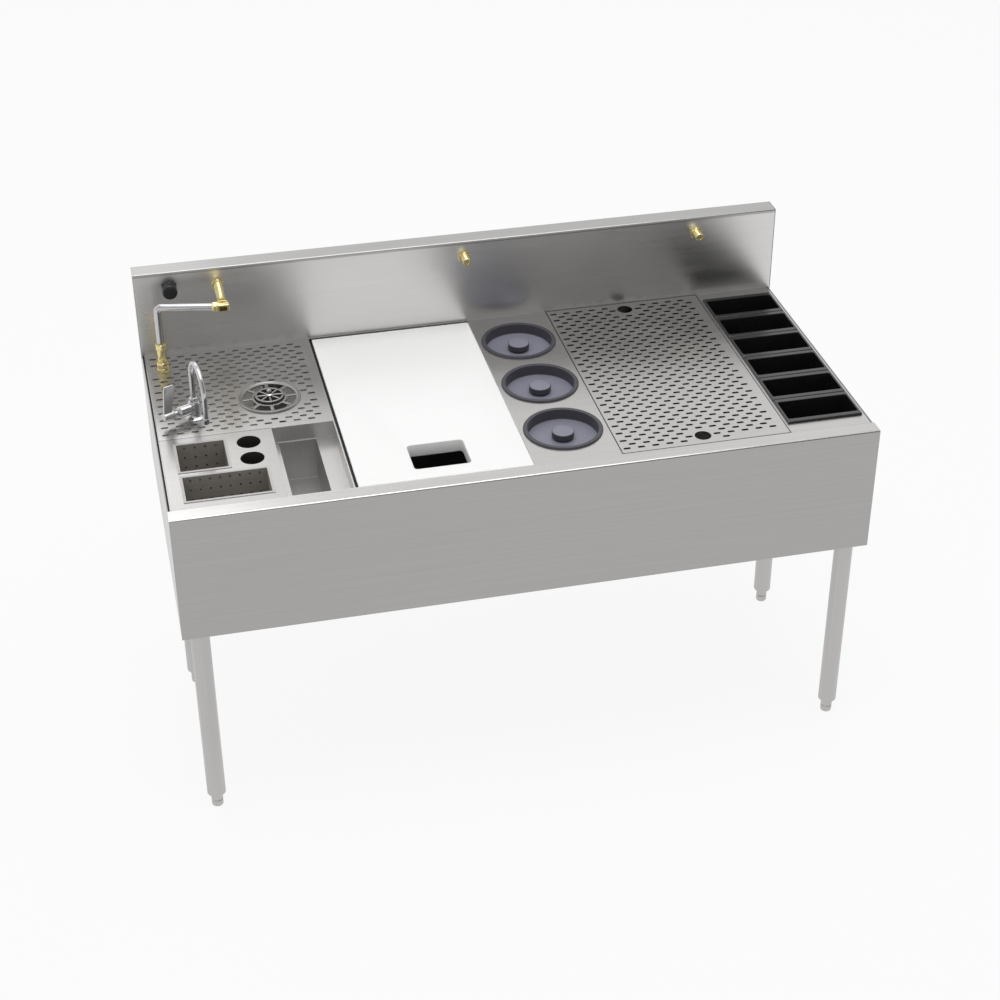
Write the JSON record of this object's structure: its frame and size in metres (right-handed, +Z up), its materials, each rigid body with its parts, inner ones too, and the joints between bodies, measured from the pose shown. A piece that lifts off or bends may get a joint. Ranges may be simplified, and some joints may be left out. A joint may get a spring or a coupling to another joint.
{
  "type": "bar sink with ice bin",
  "caption": "Stainless bar station on four legs: dump sink, glass rinser, lidded ice bin, round crocks, slotted drainboard and black bottle bins before a tall splash.",
  "frame": {"origin": "on the floor, under the middle of the unit's box", "axes": "+X to the user's right, +Y to the splash at the back, +Z up"},
  "size_m": [1.524, 0.75, 0.996],
  "materials": {
    "panel_steel": "brushed, satin",
    "leg_steel": "fine turned, satin",
    "pan_steel": "brushed, dull",
    "basket_steel": "bead blasted, dark in the basket",
    "chrome": "polished",
    "brass": "turned, bright",
    "white_lid": "fine moulded grain",
    "grey_crock": "fine moulded grain",
    "black_bin": "satin moulded",
    "black_plug": "satin",
    "foam": "cut foam"
  },
  "bodies": {
    "stand": {"front_apron": "panel_steel", "side_panel_left": "panel_steel", "side_panel_right": "panel_steel", "backsplash": "panel_steel", "back_panel": "panel_steel", "leg_rail_left": "pan_steel", "leg_rail_right": "pan_steel", "leg_front_left": "leg_steel", "leg_front_right": "leg_steel", "leg_rear_left": "leg_steel", "leg_rear_right": "leg_steel", "tool_panel": "panel_steel", "catch_pan": "pan_steel", "utensil_tubes": "basket_steel", "dump_sink": "pan_steel", "sink_drain": "pan_steel", "faucet_panel": "panel_steel", "faucet_pan": "pan_steel", "faucet_body": "chrome", "rinser_tray": "chrome", "rinser_cup": "pan_steel", "ice_bin_liner": "pan_steel", "bin_insulation": "foam", "bin_shell": "pan_steel", "bin_drain": "pan_steel", "crock_panel": "panel_steel", "drainboard_pan": "pan_steel", "pan_drains": "pan_steel", "well_frame": "panel_steel", "riser_elbow": "brass", "riser_tube": "chrome", "riser_coupling": "brass", "supply_stubs": "brass", "wall_plug": "black_plug", "fasteners": "brass"},
    "foot_front_left": {"foot_front_left": "leg_steel"},
    "foot_front_right": {"foot_front_right": "leg_steel"},
    "foot_rear_left": {"foot_rear_left": "leg_steel"},
    "foot_rear_right": {"foot_rear_right": "leg_steel"},
    "basket_short": {"basket_short": "basket_steel"},
    "basket_long": {"basket_long": "basket_steel"},
    "ice_bin_lid": {"ice_bin_lid": "white_lid"},
    "crock_front": {"crock_front": "grey_crock"},
    "crock_lid_front": {"crock_lid_front": "grey_crock"},
    "crock_middle": {"crock_middle": "grey_crock"},
    "crock_lid_middle": {"crock_lid_middle": "grey_crock"},
    "crock_rear": {"crock_rear": "grey_crock"},
    "crock_lid_rear": {"crock_lid_rear": "grey_crock"},
    "drain_panel": {"drain_panel": "panel_steel"},
    "bottle_bin_1": {"bottle_bin_1": "black_bin"},
    "bottle_bin_2": {"bottle_bin_2": "black_bin"},
    "bottle_bin_3": {"bottle_bin_3": "black_bin"},
    "bottle_bin_4": {"bottle_bin_4": "black_bin"},
    "bottle_bin_5": {"bottle_bin_5": "black_bin"},
    "bottle_bin_6": {"bottle_bin_6": "black_bin"},
    "faucet_spout": {"faucet_spout": "chrome"},
    "faucet_lever": {"faucet_lever": "chrome"},
    "rinser_star": {"rinser_star": "chrome"}
  },
  "joints": [
    {"name": "foot_front_left_level", "type": "slide", "parent": "stand", "child": "foot_front_left", "axis": [0, 0, -1], "range_m": [0, 0.025]},
    {"name": "foot_front_right_level", "type": "slide", "parent": "stand", "child": "foot_front_right", "axis": [0, 0, -1], "range_m": [0, 0.025]},
    {"name": "foot_rear_left_level", "type": "slide", "parent": "stand", "child": "foot_rear_left", "axis": [0, 0, -1], "range_m": [0, 0.025]},
    {"name": "foot_rear_right_level", "type": "slide", "parent": "stand", "child": "foot_rear_right", "axis": [0, 0, -1], "range_m": [0, 0.025]},
    {"name": "basket_short_lift", "type": "slide", "parent": "stand", "child": "basket_short", "axis": [0, 0, 1], "range_m": [0, 0.038]},
    {"name": "basket_long_lift", "type": "slide", "parent": "stand", "child": "basket_long", "axis": [0, 0, 1], "range_m": [0, 0.2]},
    {"name": "ice_bin_lid_lift", "type": "slide", "parent": "stand", "child": "ice_bin_lid", "axis": [0, 0, 1], "range_m": [0, 0.15]},
    {"name": "crock_front_lift", "type": "slide", "parent": "stand", "child": "crock_front", "axis": [0, 0, 1], "range_m": [0, 0.25]},
    {"name": "crock_lid_front_lift", "type": "slide", "parent": "crock_front", "child": "crock_lid_front", "axis": [0, 0, 1], "range_m": [0, 0.1]},
    {"name": "crock_middle_lift", "type": "slide", "parent": "stand", "child": "crock_middle", "axis": [0, 0, 1], "range_m": [0, 0.25]},
    {"name": "crock_lid_middle_lift", "type": "slide", "parent": "crock_middle", "child": "crock_lid_middle", "axis": [0, 0, 1], "range_m": [0, 0.1]},
    {"name": "crock_rear_lift", "type": "slide", "parent": "stand", "child": "crock_rear", "axis": [0, 0, 1], "range_m": [0, 0.25]},
    {"name": "crock_lid_rear_lift", "type": "slide", "parent": "crock_rear", "child": "crock_lid_rear", "axis": [0, 0, 1], "range_m": [0, 0.1]},
    {"name": "drain_panel_lift", "type": "slide", "parent": "stand", "child": "drain_panel", "axis": [0, 0, 1], "range_m": [0, 0.1]},
    {"name": "bottle_bin_1_lift", "type": "slide", "parent": "stand", "child": "bottle_bin_1", "axis": [0, 0, 1], "range_m": [0, 0.3]},
    {"name": "bottle_bin_2_lift", "type": "slide", "parent": "stand", "child": "bottle_bin_2", "axis": [0, 0, 1], "range_m": [0, 0.3]},
    {"name": "bottle_bin_3_lift", "type": "slide", "parent": "stand", "child": "bottle_bin_3", "axis": [0, 0, 1], "range_m": [0, 0.3]},
    {"name": "bottle_bin_4_lift", "type": "slide", "parent": "stand", "child": "bottle_bin_4", "axis": [0, 0, 1], "range_m": [0, 0.3]},
    {"name": "bottle_bin_5_lift", "type": "slide", "parent": "stand", "child": "bottle_bin_5", "axis": [0, 0, 1], "range_m": [0, 0.3]},
    {"name": "bottle_bin_6_lift", "type": "slide", "parent": "stand", "child": "bottle_bin_6", "axis": [0, 0, 1], "range_m": [0, 0.3]},
    {"name": "spout_swivel", "type": "hinge", "parent": "stand", "child": "faucet_spout", "pos_m": [-0.668, 0.029, 0.832], "axis": [0, 0, 1], "range_deg": [-80, 80]},
    {"name": "lever_turn", "type": "hinge", "parent": "stand", "child": "faucet_lever", "pos_m": [-0.7251, 0.00238, 0.814], "axis": [0.9063, 0.4226, 0], "range_deg": [0, 80]},
    {"name": "rinser_press", "type": "slide", "parent": "stand", "child": "rinser_star", "axis": [0, 0, -1], "range_m": [0, 0.005], "stiffness_N_per_m": 900, "springref_m": -0.004}
  ]
}
